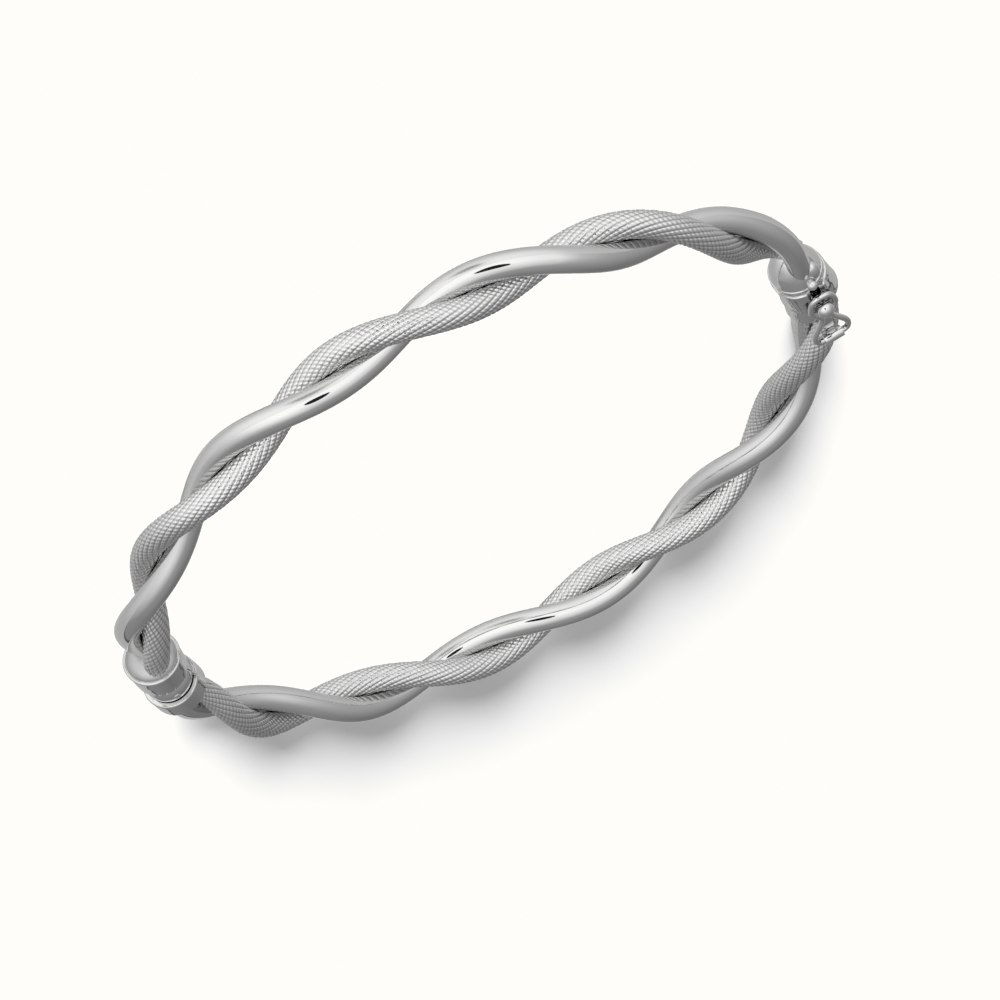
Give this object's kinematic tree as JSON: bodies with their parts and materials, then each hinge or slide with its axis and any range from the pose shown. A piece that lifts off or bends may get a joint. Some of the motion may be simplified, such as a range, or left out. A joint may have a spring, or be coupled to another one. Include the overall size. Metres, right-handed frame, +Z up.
{
  "type": "hinged bangle",
  "caption": "Oval hinged bangle of polished and diamond-cut tube twisted together, with a tongue clasp, thumb ball and figure-of-eight safety catch.",
  "frame": {"origin": "centre of the oval wrist hollow, half way up the tubes", "axes": "+X from the hinge to the clasp, +Y towards the half with the tongue, +Z up through the hollow; the thumb ball and the catch are on +Z, and the bangle lies on its -Z side"},
  "size_m": [0.0675, 0.0606, 0.006],
  "materials": {
    "polished_metal": "bright polish",
    "textured_metal": "diamond-cut crosshatch of bright cells"
  },
  "bodies": {
    "box_half": {"box_half_polished_tube": "polished_metal", "box_half_textured_tube": "textured_metal", "box_half_hinge_cup": "polished_metal", "box_collar": "polished_metal"},
    "tongue_half": {"tongue_half_polished_tube": "polished_metal", "tongue_half_textured_tube": "textured_metal", "tongue_half_hinge_cup": "polished_metal", "hinge_pin": "polished_metal", "tongue_collar": "polished_metal", "spring_tongue": "polished_metal"},
    "safety_catch": {"safety_catch": "polished_metal"}
  },
  "joints": [
    {"name": "hinge_opening", "type": "hinge", "parent": "box_half", "child": "tongue_half", "pos_m": [-0.0309, 0, 0], "axis": [0, 0, 1], "range_deg": [0, 45]},
    {"name": "catch_pivot", "type": "hinge", "parent": "box_half", "child": "safety_catch", "pos_m": [0.03144, -0.006, 0.0025], "axis": [0.9987, -0.0513, 0], "range_deg": [0, 150]}
  ]
}
